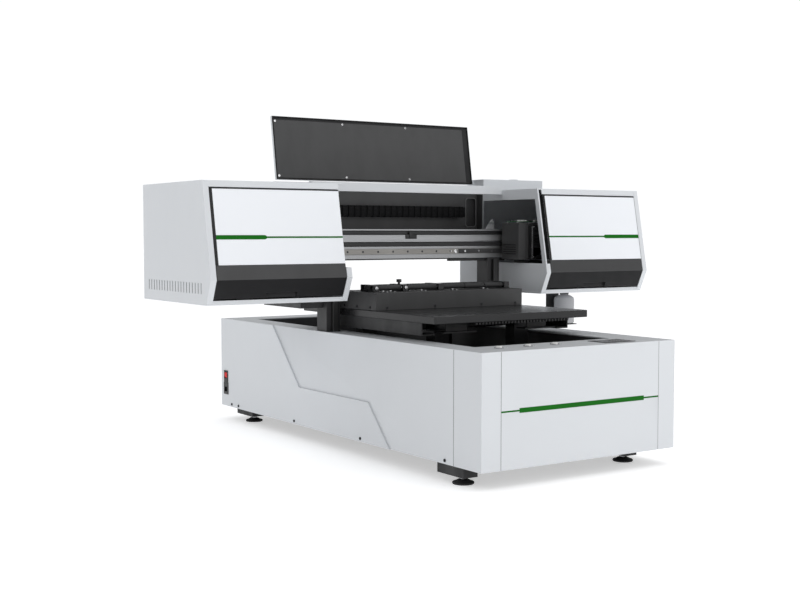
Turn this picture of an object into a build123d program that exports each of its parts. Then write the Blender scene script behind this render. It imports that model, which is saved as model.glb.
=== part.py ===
from build123d import *

import os

# Flatbed UV printer. Millimetres. +Z is up, the operator stands at -Y.
# The origin is on the floor under the middle of the machine.

# ---- Overall sizes ----
bed_width = 530
bed_length = 700
bed_thickness = 20
bed_set_back = 275
bed_gap = 47.5
base_length = 1420
base_height = 290
foot_height = 44
box_width = 423
head_depth = 446
head_height = 323
head_gap = 98
head_set_back = 549
lid_length = 198
lid_open_angle = 99

# ---- Sheet, strip and section sizes ----
sheet = 3
flange = 17
tube = 30
post_width = 46
post_depth = 55
front_strip = 127
rear_strip = 104
left_strip = 76
right_strip = 115
trough_depth = 120
corner_post_front = 60
corner_post_side = 112
side_step = 5
beam_depth = 50
beam_height = 89
window_sill = 93
window_height = 198
lid_depth = 10
door_depth = 15
stripe_height = 12
button_radius = 8
roller_radius = 6
screw_radius = 8
foot_pad_radius = 27.5

# ---- Clearances ----
running_gap = 0.4
cover_gap = 1.5
bed_side_gap = 5
post_side_gap = 6

# ---- Places worked out from the sizes ----
base_width = bed_width + 2 * (bed_side_gap + post_width + post_side_gap + sheet)
centre_width = base_width + 44
base_x = base_width / 2
cheek_x = centre_width / 2
head_x = cheek_x + box_width
front_y = -base_length / 2
rear_y = base_length / 2
base_z = foot_height
deck_z = base_z + base_height
deck_under = deck_z - sheet
trough_z = deck_z - trough_depth
trough_left = -base_x + left_strip
trough_right = base_x - right_strip
trough_front = front_y + front_strip
trough_rear = rear_y - rear_strip

head_front = front_y + head_set_back
head_rear = head_front + head_depth
head_floor = deck_z + head_gap
head_top = head_floor + head_height
knee_z = head_floor + 66
front_set_back = 49
under_set_back = 29

bed_front = front_y + bed_set_back
bed_rear = bed_front + bed_length
bed_under = deck_z + bed_gap
bed_top = bed_under + bed_thickness
bed_x = bed_width / 2

beam_front = head_front + 201
beam_z = head_floor + 109
beam_top = beam_z + beam_height
beam_x = cheek_x + 250
post_x = bed_x + bed_side_gap + post_width / 2
post_front = beam_front - 5
post_rear = post_front + post_depth
hinge_y = head_rear - 35
hinge_z = head_top + 18

parts = {}


def add(name, *shapes):
    """Keep one node: a single solid, or a group of separate ones."""
    parts[name] = shapes[0] if len(shapes) == 1 else Compound(children=list(shapes))


def block(x, y, z):
    """Box between two limits on each axis."""
    limits = (x, y, z)
    centre = [(low + high) / 2 for low, high in limits]
    return Pos(*centre) * Box(*[high - low for low, high in limits])


def rod(radius, start, axis, length):
    """Cylinder from a start point along one axis."""
    turns = {"x": (0, 90, 0), "y": (-90, 0, 0), "z": (0, 0, 0)}
    shape = Cylinder(radius, length, align=(Align.CENTER, Align.CENTER, Align.MIN))
    return Pos(*start) * Rot(*turns[axis]) * shape


def profile_x(points, x_low, x_high):
    """Outline given in Y and Z, extruded from x_low to x_high."""
    face = make_face(Polyline(*[(x_low, y, z) for y, z in points], close=True))
    return extrude(face, x_high - x_low, dir=(1, 0, 0))


def mirrored(shape):
    """The same piece on the other side of the machine."""
    return mirror(shape, about=Plane.YZ)


# ======================= Base =======================

# Welded tube frame: long rails, cross rails, uprights, top rails and the two lift towers.
rail_outer = base_x - sheet
rail_inner = rail_outer - tube
frame_low = base_z + sheet
frame_front = front_y + sheet
frame_rear = rear_y - sheet
bearer_z = trough_z - 2 - tube
bearer_places = (front_y + 300, rear_y - 270)
frame_solids = []
for side in (-1, 1):
    rail_span = sorted((side * rail_inner, side * rail_outer))
    frame_solids.append(block(rail_span, (frame_front, frame_rear), (frame_low, frame_low + tube)))
    top_spans = ((frame_front, post_front - 20), (post_rear + 52, frame_rear))
    for y_low, y_high in top_spans:
        frame_solids.append(block(rail_span, (y_low, y_high), (deck_under - tube, deck_under)))
    upright_places = (frame_front, frame_rear - 3 * tube) + bearer_places
    for y_low in upright_places:
        upright_z = (frame_low + tube, deck_under - tube)
        frame_solids.append(block(rail_span, (y_low, y_low + tube), upright_z))
    tower_x = (side * post_x - post_width / 2, side * post_x + post_width / 2)
    tower_y = (post_front - 55, post_front - 45)
    frame_solids.append(block(tower_x, tower_y, (frame_low + tube, deck_under - tube - 2)))
cross_places = (frame_front, frame_rear - tube, post_front - 65, post_rear + 15)
for y_low in cross_places:
    span = (-rail_inner, rail_inner)
    frame_solids.append(block(span, (y_low, y_low + tube), (frame_low, frame_low + tube)))
for y_low in bearer_places:
    bearer_span = (-rail_inner, rail_inner)
    frame_solids.append(block(bearer_span, (y_low, y_low + tube), (bearer_z, bearer_z + tube)))
add("base_frame", *frame_solids)

# Side covers: flat sheet with a pressed region that stands proud behind and below an S-shaped step.
inlet_y = rear_y - 36
inlet_z = base_z + 56
switch_z = base_z + 103
cutout_low = inlet_z - 12
cutout_high = switch_z + 14
step_outline = (
    (front_y + 1054, deck_z),
    (front_y + 887, base_z + 114),
    (front_y + 501, base_z + 114),
    (front_y + 394, base_z),
    (rear_y, base_z),
    (rear_y, deck_z),
)
side_y = (front_y + corner_post_side, rear_y)
side_sheet = block((-base_x, -base_x + sheet), side_y, (base_z, deck_z))
side_press = profile_x(step_outline, -base_x - side_step, -base_x)
right_panel = mirrored(side_sheet + side_press)
cutout_y = (inlet_y - 12.5, inlet_y + 12.5)
cutout = block((-base_x - 20, -base_x + 20), cutout_y, (cutout_low, cutout_high))
add("left_side_panel", side_sheet + side_press - cutout)
add("right_side_panel", right_panel)

# Front cover with a shallow groove for the stripe, and the corner posts folded round both corners.
panel_x = base_x - corner_post_front
stripe_z = base_z + 143
thick_z = (stripe_z - stripe_height / 2, stripe_z + stripe_height / 2)
stripe_low_x = -panel_x + 57
stripe_high_x = panel_x - 53
thick_stripe = (stripe_low_x, stripe_high_x), (front_y, front_y + 1), thick_z
thin_stripe = (-panel_x, panel_x), (front_y, front_y + 1), (stripe_z - 2, stripe_z + 2)
stripe = block(*thick_stripe) + block(*thin_stripe)
front_cover = block((-panel_x, panel_x), (front_y, front_y + sheet), (base_z, deck_z))
add("front_panel", front_cover - stripe)
add("front_stripe", stripe)
corner_front = block((-base_x, -panel_x), (front_y, front_y + sheet), (base_z, deck_z))
corner_side = block((-base_x, -base_x + sheet), (front_y, side_y[0]), (base_z, deck_z))
corner_post = corner_front + corner_side
add("front_corner_posts", corner_post, mirrored(corner_post))

# Rear cover with two rows of cooling slots.
rear_cover = block((-rail_outer, rail_outer), (rear_y - sheet, rear_y), (base_z, deck_z))
slots = []
for column in (-1, 1):
    for row in range(6):
        slot_x = column * base_x / 2
        slot_z = base_z + 120 + 14 * row
        slots.append(block((slot_x - 50, slot_x + 50), (rear_y - 10, rear_y + 10), (slot_z, slot_z + 5)))
add("rear_panel", rear_cover - slots)

# Deck plates round the trough. The side plates are notched for the lift posts.
notch_y = (post_front - 15, post_rear + 5)
deck_x = base_x - sheet
deck_zs = (deck_under, deck_z)
button_x = (-base_x + 107, -base_x + 200, -base_x + 288)
button_y = front_y + 69
post_low = bed_x + bed_side_gap - 3
front_deck = block((-deck_x, deck_x), (frame_front, trough_front), deck_zs)
for place in button_x:
    front_deck -= rod(button_radius + 1.4, (place, button_y, deck_under - 5), "z", 20)
left_deck = block((-deck_x, trough_left), (trough_front, trough_rear), deck_zs)
left_deck -= block((-deck_x + 3, -post_low), notch_y, (deck_under - 1, deck_z + 1))
right_deck = block((trough_right, deck_x), (trough_front, trough_rear), deck_zs)
right_deck -= block((post_low, deck_x - 3), notch_y, (deck_under - 1, deck_z + 1))
rear_deck = block((-deck_x, deck_x), (trough_rear, rear_y - sheet), deck_zs)
add("deck_plates", front_deck, left_deck, right_deck, rear_deck)

# Trough under the bed: a floor sheet and four wall sheets below the deck edge.
wall = 2
trough_x = (trough_left, trough_right)
trough_y = (trough_front, trough_rear)
wall_z = (trough_z, deck_under)
add(
    "trough_pan",
    block((trough_x[0] - wall, trough_x[1] + wall), trough_y, (trough_z - wall, trough_z)),
    block((trough_x[0] - wall, trough_x[0]), trough_y, wall_z),
    block((trough_x[1], trough_x[1] + wall), trough_y, wall_z),
    block(trough_x, (trough_y[0], trough_y[0] + wall), wall_z),
    block(trough_x, (trough_y[1] - wall, trough_y[1]), wall_z),
)

# Levelling feet: bracket block, threaded stud with its lock nut, and a domed pad.
foot_places = (
    (-base_x + 25, front_y + 105),
    (base_x - 85, front_y + 105),
    (-base_x + 50, rear_y - 130),
    (base_x - 85, rear_y - 130),
)
bracket_low = base_z - 25
brackets = []
studs = []
pads = []
stud_radius = 6
pad_height = 12
for x, y in foot_places:
    hole = rod(stud_radius, (x, y, bracket_low), "z", 25 + sheet)
    bracket_z = (bracket_low, base_z + sheet)
    brackets.append(block((x - 22, x + 22), (y - 30, y + 80), bracket_z) - hole)
    nut = Pos(x, y, bracket_low - 5) * extrude(RegularPolygon(11, 6), 5)
    studs.append(rod(stud_radius, (x, y, pad_height), "z", base_z - pad_height) + nut)
    pad_rim = ((foot_pad_radius, 0, 0), (foot_pad_radius, 0, 5))
    pad_hub = ((12, 0, pad_height), (0, 0, pad_height))
    pad_face = make_face(Polyline((0, 0, 0), *pad_rim, *pad_hub, close=True))
    pads.append(Pos(x, y, 0) * revolve(pad_face, Axis.Z))
add("foot_brackets", *brackets)
add("foot_studs", *studs)
add("foot_pads", *pads)

# Keypad overlay and the three push buttons in their bezels.
keypad_x = (base_x - 225, base_x - 120)
keypad_y = (front_y + 26, front_y + 96)
add("keypad", block(keypad_x, keypad_y, (deck_z, deck_z + 1.5)))
bezels = []
button_names = ("left_button", "middle_button", "right_button")
barrel_low = deck_under - 22
for name, place in zip(button_names, button_x):
    collar = rod(button_radius + 4, (place, button_y, deck_z), "z", 3)
    barrel = rod(button_radius + 1.4, (place, button_y, barrel_low), "z", deck_z - barrel_low)
    bore = rod(button_radius + running_gap, (place, button_y, barrel_low + 4), "z", 60)
    bezels.append(collar + barrel - bore)
    add(name, rod(button_radius, (place, button_y, deck_z - 14), "z", 20.5))
add("button_bezels", *bezels)

# Mains inlet with its socket and three pins, and the rocker switch above it.
face_x = -base_x - side_step
inlet_box = block((face_x - 2, -base_x + 28), cutout_y, (inlet_z - 12, inlet_z + 22))
inlet_flange = block((face_x - 2, face_x), (inlet_y - 16, inlet_y + 16), (inlet_z - 17, inlet_z + 23))
socket = block((face_x - 3, face_x + 15), (inlet_y - 10, inlet_y + 10), (inlet_z - 8, inlet_z + 8))
inlet = inlet_box + inlet_flange - socket
for pin_y, pin_z in ((-6, -2), (6, -2), (0, 3)):
    centre_y = inlet_y + pin_y
    centre_z = inlet_z + pin_z
    pin = block((face_x + 2, face_x + 16), (centre_y - 1, centre_y + 1), (centre_z - 2, centre_z + 2))
    inlet = inlet + pin
bezel_outer = block((face_x - 2, face_x), (inlet_y - 14, inlet_y + 14), (inlet_z + 23.5, switch_z + 15))
bezel_body = block((face_x, -base_x + 22), cutout_y, (inlet_z + 24, cutout_high))
rocker_y = (inlet_y - 9.5, inlet_y + 9.5)
rocker_hole = block((face_x - 3, -base_x + 15), rocker_y, (switch_z - 11, switch_z + 11))
add("power_inlet", inlet, bezel_outer + bezel_body - rocker_hole)
rocker_face = (
    (-base_x + 4, switch_z - 4),
    (face_x - 1, switch_z - 9),
    (face_x - 3, switch_z),
    (face_x - 1, switch_z + 9),
    (-base_x + 4, switch_z + 4),
)
rocker_wire = Polyline(*[(x, inlet_y - 9, z) for x, z in rocker_face], close=True)
rocker = extrude(make_face(rocker_wire), 18, dir=(0, 1, 0))
rocker_axis = Axis((face_x + 3, inlet_y, switch_z), (0, 1, 0))
add("power_rocker", rocker.rotate(rocker_axis, -7))

# Bed drive in the trough: two linear rails, a ball screw, its two end bearings and the motor.
bed_rail_x = trough_right - 70
bed_rail_width = 20
bed_rail_height = 18
bed_rail_y = (trough_front + 23, trough_rear - 16)
bed_rail = block((bed_rail_x - 10, bed_rail_x + 10), bed_rail_y, (trough_z, trough_z + bed_rail_height))
add("bed_rails", bed_rail, mirrored(bed_rail))
bed_screw_z = trough_z + 28
bed_screw_radius = 10
screw_start = trough_front + 40
screw_end = trough_rear - 120
add("bed_screw", rod(bed_screw_radius, (0, screw_start, bed_screw_z), "y", screw_end - screw_start))
bearings = []
for y_low in (screw_start, screw_end - 40):
    bearing = block((-25, 25), (y_low + 5, y_low + 30), (trough_z, bed_screw_z + 12.5))
    bearings.append(bearing - rod(bed_screw_radius + running_gap, (0, y_low, bed_screw_z), "y", 60))
motor_y = (screw_end + 2, trough_rear - 20)
bed_motor = block((-21, 21), motor_y, (trough_z, trough_z + 40))

# Lift drive in the base: bearing blocks that clasp the post rails, screws and their motors.
lift_rail_width = 15
lift_rail_depth = 12
lift_rail_front = post_front - lift_rail_depth
lift_screw_y = post_rear + 30
nut_z = (base_z + 150, base_z + 180)
blocks = []
motors = []
for side in (-1, 1):
    for z_low in (base_z + 110, base_z + 205):
        body_x = (side * post_x - 17, side * post_x + 17)
        body = block(body_x, (post_front - 45, post_front - 2), (z_low, z_low + 45))
        slot_half = lift_rail_width / 2 + running_gap
        slot_x = (side * post_x - slot_half, side * post_x + slot_half)
        slot_y = (lift_rail_front - running_gap, post_front)
        blocks.append(body - block(slot_x, slot_y, (z_low - 1, z_low + 46)))
    motor_x = (side * post_x - 21, side * post_x + 21)
    motor_z = (frame_low + tube, frame_low + tube + 50)
    motors.append(block(motor_x, (lift_screw_y - 21, lift_screw_y + 21), motor_z))
    screw_low = motor_z[1] + running_gap
    name = "left_lift_screw" if side < 0 else "right_lift_screw"
    add(name, rod(screw_radius, (side * post_x, lift_screw_y, screw_low), "z", deck_under - 6 - screw_low))
add("base_bearings", *bearings, *blocks)
add("drive_motors", bed_motor, *motors)

# ======================= Head =======================

# Black posts with their rails, each with a threaded lug for its screw.
# They carry the head and slide down into the base.
posts = []
linear_rails = []
for side in (-1, 1):
    half = post_width / 2
    post_span = (side * post_x - half, side * post_x + half)
    post = block(post_span, (post_front, post_rear), (base_z + 80, beam_z))
    rail_span = (side * post_x - lift_rail_width / 2, side * post_x + lift_rail_width / 2)
    linear_rails.append(block(rail_span, (lift_rail_front, post_front), (base_z + 85, beam_z - 4)))
    nut_span = (side * post_x - 18, side * post_x + 18)
    lug = block(nut_span, (post_rear, lift_screw_y + 20), nut_z)
    thread = rod(screw_radius + running_gap, (side * post_x, lift_screw_y, nut_z[0] - 1), "z", 60)
    posts.append(post + lug - thread)
add("lift_posts", *posts)

# Side boxes: outline in Y and Z shared by both cheeks, with a front that leans back above the knee.
outline = (
    (head_rear, head_top),
    (head_front + front_set_back, head_top),
    (head_front, knee_z),
    (head_front + under_set_back, head_floor),
    (head_rear, head_floor),
)
front_slope = front_set_back / (head_top - knee_z)


def front_at(z):
    """Y of the leaning box front at a height above the knee."""
    return head_front + front_slope * (z - knee_z)


def under_at(z):
    """Y of the under-slope of the box at a height below the knee."""
    return head_front + under_set_back * (knee_z - z) / (knee_z - head_floor)


def front_frame():
    """Strip along the leaning front and the under-slope, as deep as the sheet."""
    high = head_top - sheet
    low = head_floor + sheet
    return (
        (front_at(high), high),
        (head_front, knee_z),
        (under_at(low), low),
        (under_at(low) + sheet, low),
        (head_front + sheet, knee_z),
        (front_at(high) + sheet, high),
    )


def box_covers():
    """Left box: outer cheek with its front flange, top, rear and floor covers."""
    cheek = profile_x(outline, -head_x, -head_x + sheet)
    edge = profile_x(front_frame(), -head_x, -head_x + flange)
    inside = (-head_x + sheet, -cheek_x - sheet)
    top = block(inside, (head_front + front_set_back, head_rear), (head_top - sheet, head_top))
    lip_y = front_at(head_top - flange)
    lip = profile_x(
        (
            (front_at(head_top), head_top - sheet),
            (lip_y, head_top - flange),
            (lip_y + sheet, head_top - flange),
            (front_at(head_top) + sheet, head_top - sheet),
        ),
        -head_x + flange,
        -cheek_x - flange,
    )
    rear = block(inside, (head_rear - sheet, head_rear), (head_floor + sheet, head_top - sheet))
    floor = block(inside, (head_front + under_set_back, head_rear), (head_floor, head_floor + sheet))
    floor_lip = block(
        (-head_x + flange, -cheek_x - flange),
        (head_front + under_set_back - 2, head_front + under_set_back + 1),
        (head_floor, head_floor + 12),
    )
    return [cheek + edge, top + lip, rear, floor + floor_lip]


left_covers = box_covers()
add("left_box_covers", *left_covers)
add("right_box_covers", *[mirrored(cover) for cover in left_covers])

# Inner cheeks, with a window that the carriage passes through. Above the window sill the left one
# is cut back behind its door, and the front return of the right one is narrow.
window_strip = 17
cheek_cut_back = 30
narrow_return = 5.5
sill_z = head_floor + window_sill
window_top = sill_z + window_height
window_rear = beam_front + 120
window = (
    (front_at(window_top) + window_strip, window_top),
    (front_at(sill_z) + window_strip, sill_z),
    (window_rear, sill_z),
    (window_rear, window_top),
)
upper_front = (
    (front_at(sill_z) - 10, sill_z),
    (front_at(head_top) - 10, head_top + 1),
    (front_at(head_top) + cheek_cut_back, head_top + 1),
    (front_at(sill_z) + cheek_cut_back, sill_z),
)
cheek = profile_x(outline, -cheek_x - sheet, -cheek_x)
cheek += profile_x(front_frame(), -cheek_x - flange, -cheek_x)
cheek = cheek - profile_x(window, -cheek_x - 30, -cheek_x + 30)
left_cheek = cheek - profile_x(upper_front, -cheek_x - 30, -cheek_x + 30)
right_cheek = mirrored(cheek - profile_x(upper_front, -cheek_x - 30, -cheek_x - narrow_return))
add("inner_cheeks", left_cheek, right_cheek)

# Centre section between the cheeks: front bar, inner back wall, rear cover and hinge rail.
bar_y = head_front + 221
bar_z = (head_top - 14, head_top + 12)
centre_bar = block((-cheek_x, cheek_x), (bar_y, bar_y + 20), bar_z)
wall_y = head_front + 351
back_wall = block((-cheek_x, cheek_x), (wall_y, wall_y + sheet), (beam_top - 20, head_top - 4))
wall_hole = block((cheek_x - 47, cheek_x - 8), (wall_y - 5, wall_y + 10), (beam_top + 10, window_top + 8))
add("back_wall", back_wall - wall_hole)
rear_low = beam_z + 20
centre_rear = block((-cheek_x, cheek_x), (head_rear - sheet, head_rear), (rear_low, head_top - 15))
centre_floor = block((-cheek_x, cheek_x), (wall_y + sheet, head_rear - sheet), (rear_low, rear_low + sheet))
barrel_radius = 3.5
rail_x = cheek_x + 19
hinge_base = block((-rail_x, rail_x), (hinge_y + 4, head_rear), (head_top, hinge_z))
hinge_wall = block((-cheek_x, cheek_x), (hinge_y + 4, head_rear - sheet), (head_top - 15, head_top))
hinge_rail = hinge_base + hinge_wall
for side in (-1, 1):
    hinge_rail += rod(barrel_radius, (side * 220 - 30, hinge_y, hinge_z), "x", 60)
    hinge_rail += block((side * 220 - 30, side * 220 + 30), (hinge_y, hinge_y + 5), (hinge_z - 3, hinge_z))
add("centre_covers", centre_bar, centre_rear + centre_floor, hinge_rail)

# Beam with grooves, its linear rail, the belt run, the drive pulley and the belt motor.
beam = block((-beam_x, beam_x), (beam_front, beam_front + beam_depth), (beam_z, beam_top))
for groove_low, groove_high in ((38, 50), (72, 84)):
    groove_z = (beam_z + groove_low, beam_z + groove_high)
    beam -= block((-beam_x - 1, beam_x + 1), (beam_front - 1, beam_front + 5), groove_z)
add("beam", beam)
x_rail_z = (beam_z + 14, beam_z + 30)
x_rail_depth = 10
x_rail_front = beam_front - x_rail_depth
carriage_rail = block((-beam_x + 10, beam_x - 10), (x_rail_front, beam_front), x_rail_z)
add("head_rails", carriage_rail, *linear_rails)
belt_z = beam_z + 44
pulley_radius = 11
belt_y = beam_front - 16
pulley_x = beam_x - 30
belt_run_y = belt_y + pulley_radius + 1
belt = block((-pulley_x, pulley_x), (belt_run_y - 0.75, belt_run_y + 0.75), (belt_z - 5, belt_z + 5))
pulley = rod(pulley_radius - running_gap, (-pulley_x, belt_y, belt_z - 7), "z", 14)
pulley_shaft = rod(4, (-pulley_x, belt_y, belt_z - 20), "z", beam_top + 1 - (belt_z - 20))
add("drive_pulley", pulley + pulley_shaft)
bracket_z = (beam_top + 1, beam_top + 7)
pulley_bracket = block((-pulley_x - 16, -pulley_x + 16), (belt_y - 14, beam_front), bracket_z)
motor_y = (belt_y - 18, beam_front + 18)
belt_motor = block((-pulley_x - 18, -pulley_x + 18), motor_y, (beam_top + 7, beam_top + 51))
add("belt_drive", belt, pulley_bracket + belt_motor)

# Energy chain: links in a straight run along the inner back wall.
chain_pitch = 22
chain_z = (beam_top + 38, beam_top + 73)
chain_y = (wall_y - 32, wall_y)
link_count = int((2 * cheek_x - 60) // chain_pitch)
links = []
for index in range(link_count):
    x_low = -cheek_x + 6 + index * chain_pitch
    link = block((x_low, x_low + chain_pitch - 2), chain_y, chain_z)
    links.append(link)
run_low = -cheek_x + 6
run_high = run_low + link_count * chain_pitch - 2
chain_core = block((run_low, run_high), (chain_y[0] + 4, chain_y[1]), (chain_z[0] + 4, chain_z[1] - 4))
energy_chain = links[0].fuse(*links[1:], chain_core)
add("energy_chain", energy_chain)

# Pieces inside and on the boxes: ink tanks, capping station, light housing with its knob.
tank_width = 40
tanks = []
for index in range(6):
    x_low = -head_x + 60 + index * (tank_width + 8)
    tank_y = (beam_front - 130, beam_front - 45)
    tanks.append(block((x_low, x_low + tank_width), tank_y, (head_floor + sheet, head_floor + 150)))
add("ink_tanks", *tanks)
carriage_low_x = cheek_x - 25
capping_x = (cheek_x + 30, cheek_x + 230)
capping_y = (beam_front - 80, beam_front - 5)
add("capping_station", block(capping_x, capping_y, (head_floor + sheet, beam_z - 10)))
light_x = (cheek_x + 25, cheek_x + 278)
light_y = (head_rear - 95, head_rear - 5)
light_top = head_top + 40
knob = rod(16, (cheek_x + 187, head_rear - 50, light_top), "z", 4)
add("light_housing", block(light_x, light_y, (head_top, light_top)) + knob)

# Waste ink bottle on a hanger below the right box.
bottle_radius = 33
bottle_x = head_x - 186
bottle_y = head_front + 190
hanger_rear = bottle_y + bottle_radius + 4
shelf_z = head_floor - 110
hanger = block((bottle_x - 45, bottle_x + 10), (hanger_rear, hanger_rear + sheet), (shelf_z, head_floor))
shelf_y = (bottle_y - 30, hanger_rear)
hanger_shelf = block((bottle_x - 45, bottle_x + 30), shelf_y, (shelf_z - sheet, shelf_z))
bottle = rod(bottle_radius, (bottle_x, bottle_y, shelf_z), "z", 94)
neck = rod(14, (bottle_x, bottle_y, shelf_z + 94), "z", 10)
add("waste_bottle", bottle + neck)

# Black rails under the boxes, each tied to its post by a cross arm.
under_rails = []
for side in (-1, 1):
    rail_span = sorted((side * (cheek_x + 19), side * (cheek_x + 43)))
    rail = block(rail_span, (post_rear + 4, head_rear), (head_floor - tube, head_floor))
    arm_span = sorted((side * (post_x + post_width / 2), side * (cheek_x + 43)))
    arm = block(arm_span, (post_front + 20, post_rear + 4), (head_floor - tube, head_floor))
    under_rails.append(rail + arm)
add("under_brackets", hanger + hanger_shelf, *under_rails)

# ======================= Lid and doors =======================

# Lid: shallow tray with four flanges, drawn shut along -Y, then swung open about its hinge.
lid_x = cheek_x + 19
lid_start = hinge_y - 5
lid_end = hinge_y - lid_length
lid_axis = Axis((0, hinge_y, hinge_z), (1, 0, 0))
tray = block((-lid_x, lid_x), (lid_end, lid_start), (hinge_z - lid_depth + 1, hinge_z))
tray -= block((-lid_x + 2, lid_x - 2), (lid_end + 2, lid_start - 2), (hinge_z - lid_depth, hinge_z - 2))
liner_z = (hinge_z - 6, hinge_z - 4)
liner = block((-lid_x + 6, lid_x - 6), (lid_end + 6, lid_start - 6), liner_z)
spacers = []
lid_screw_x = [-lid_x + 12 + index * (2 * lid_x - 24) / 3 for index in range(4)]
for x in lid_screw_x:
    for y in (lid_end + 14, lid_start - 12):
        spacers.append(rod(4, (x, y, hinge_z - 4), "z", 2))
add("lid_tray", (tray + spacers).rotate(lid_axis, -lid_open_angle))
add("lid_liner", liner.rotate(lid_axis, -lid_open_angle))

# Doors: a white upper leaf and a dark visor folded under it, hung along the top edge.
visor_z = head_floor + 104
door_top = head_top - flange - cover_gap
door_low = head_floor + 16.5
door_x = (-head_x + flange + cover_gap, -cheek_x - flange - cover_gap)
leaf = profile_x(
    (
        (front_at(door_top), door_top),
        (front_at(visor_z), visor_z),
        (front_at(visor_z) + sheet, visor_z),
        (front_at(door_top) + sheet, door_top),
    ),
    *door_x,
)
rim = profile_x(
    (
        (front_at(door_top) + sheet, door_top),
        (front_at(visor_z) + sheet, visor_z),
        (front_at(visor_z) + door_depth, visor_z),
        (front_at(door_top) + door_depth, door_top),
    ),
    door_x[0],
    door_x[0] + 2,
)
far_rim = Pos(door_x[1] - door_x[0] - 2, 0, 0) * rim
leaf = leaf + rim + far_rim
visor_foot_y = under_at(door_low)
visor = profile_x(
    (
        (front_at(visor_z), visor_z),
        (head_front, knee_z),
        (visor_foot_y, door_low),
        (visor_foot_y + door_depth, door_low),
        (head_front + door_depth, knee_z),
        (front_at(visor_z) + door_depth, visor_z),
    ),
    *door_x,
)
grip_x = -head_x + 213
grip_y = (visor_foot_y - 12, visor_foot_y + 6)
grip = block((grip_x - 47, grip_x + 47), grip_y, (door_low - 1, door_low + 14))
visor = visor - grip
add("left_door_leaf", leaf)
add("left_door_visor", visor)
add("right_door_leaf", mirrored(leaf))
add("right_door_visor", mirrored(visor))

# ======================= Bed =======================

block_y = (bed_front + 135, bed_rear - 195)
saddle_z = (trough_z + 43, trough_z + 53)
bearing_blocks = []
for side in (-1, 1):
    for y_low in block_y:
        body_x = (side * bed_rail_x - 22, side * bed_rail_x + 22)
        body = block(body_x, (y_low, y_low + 60), (trough_z + 4, saddle_z[0]))
        half = bed_rail_width / 2 + running_gap
        groove_x = (side * bed_rail_x - half, side * bed_rail_x + half)
        groove_z = (trough_z, trough_z + bed_rail_height + running_gap)
        bearing_blocks.append(body - block(groove_x, (y_low - 1, y_low + 61), groove_z))
saddle_y = (block_y[0] - 10, block_y[1] + 70)
saddle_x = bed_rail_x + 30
saddle = block((-saddle_x, saddle_x), saddle_y, saddle_z)
bed_nut = block((-22, 22), (bed_front + 300, bed_front + 340), (bed_screw_z - 17, saddle_z[0]))
bed_nut -= rod(bed_screw_radius + running_gap, (0, bed_front + 290, bed_screw_z), "y", 60)
add("bed_bearings", bed_nut, *bearing_blocks)
bed_posts = []
for x in (-bed_rail_x, bed_rail_x):
    for y in (saddle_y[0] + 20, saddle_y[1] - 60):
        bed_posts.append(block((x - 25, x + 25), (y, y + 40), (saddle_z[1], bed_under)))
add("bed_saddle", saddle, *bed_posts)
bed = block((-bed_x, bed_x), (bed_front, bed_rear), (bed_under, bed_top))
add("bed_plate", fillet(bed.edges().filter_by(Axis.Z), 6))

# Toothed support under the front edge of the bed.
tooth_pitch = 11
tooth_z = (bed_under - 7, bed_under)
tooth_width = 6
comb_x = (-bed_x + 135, bed_x - 65)
comb = block(comb_x, (bed_front + 8, bed_front + 12), (bed_under - 3, bed_under))
for index in range(int((comb_x[1] - comb_x[0]) // tooth_pitch)):
    x_low = comb_x[0] + index * tooth_pitch
    comb += block((x_low, x_low + tooth_width), (bed_front + 4, bed_front + 12), tooth_z)

# C-section channels under both long edges of the bed, open towards the middle.
channel_y = (bed_front + 75, bed_front + 560)
channel_z = (deck_z + 12, bed_under)
channel_low = bed_x - 52
channel_high = bed_x - 9
channel = block((-channel_high, -channel_low), channel_y, channel_z)
channel_hollow_z = (channel_z[0] + 4, channel_z[1] - 4)
channel_hollow_y = (channel_y[0] - 1, channel_y[1] + 1)
channel -= block((-channel_high + 4, -channel_low + 1), channel_hollow_y, channel_hollow_z)
add("bed_channels", channel, mirrored(channel))
cross_brackets = []
bracket_x = channel_low - 73
for x in (-bracket_x, bracket_x):
    plate = block((x - 55, x + 55), (bed_front + 60, bed_front + 100), (bed_under - 31, bed_under - 27))
    web = block((x - 35, x + 35), (bed_front + 77, bed_front + 81), (bed_under - 27, bed_under))
    cross_brackets.append(plate + web)
add("bed_supports", comb, *cross_brackets)

# Rotary fixture: a folded housing across the bed, bearing blocks, and two rollers that turn together.
fixture_y = (bed_front + 290, bed_front + 490)
fixture_top = bed_top + 50
fixture_x = bed_x - 3
housing = block((-fixture_x, fixture_x), fixture_y, (bed_top, fixture_top))
hollow_y = (fixture_y[0] + 2, fixture_y[1] - 2)
housing -= block((-fixture_x + 2, fixture_x - 2), hollow_y, (bed_top - 1, fixture_top - 2))
add("rotary_housing", housing)
roller_z = fixture_top + 11
roller_y = (fixture_y[0] + 52, fixture_y[0] + 98)
bearing_x = (-fixture_x + 27, -fixture_x + 127, -10, fixture_x - 27)
roller_blocks = []
for x in bearing_x:
    stand_y = (roller_y[0] - 12, roller_y[1] + 12)
    stand = block((x - 9, x + 9), stand_y, (fixture_top, fixture_top + 20))
    for y in roller_y:
        stand -= rod(roller_radius + running_gap, (x - 20, y, roller_z), "x", 40)
    roller_blocks.append(stand)
add("roller_blocks", *roller_blocks)
roller_start = bearing_x[0] + 2
roller_length = bearing_x[-1] - bearing_x[0] - 4
add("front_roller", rod(roller_radius, (roller_start, roller_y[0], roller_z), "x", roller_length))
add("rear_roller", rod(roller_radius, (roller_start, roller_y[1], roller_z), "x", roller_length))

# ======================= Carriage =======================

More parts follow.
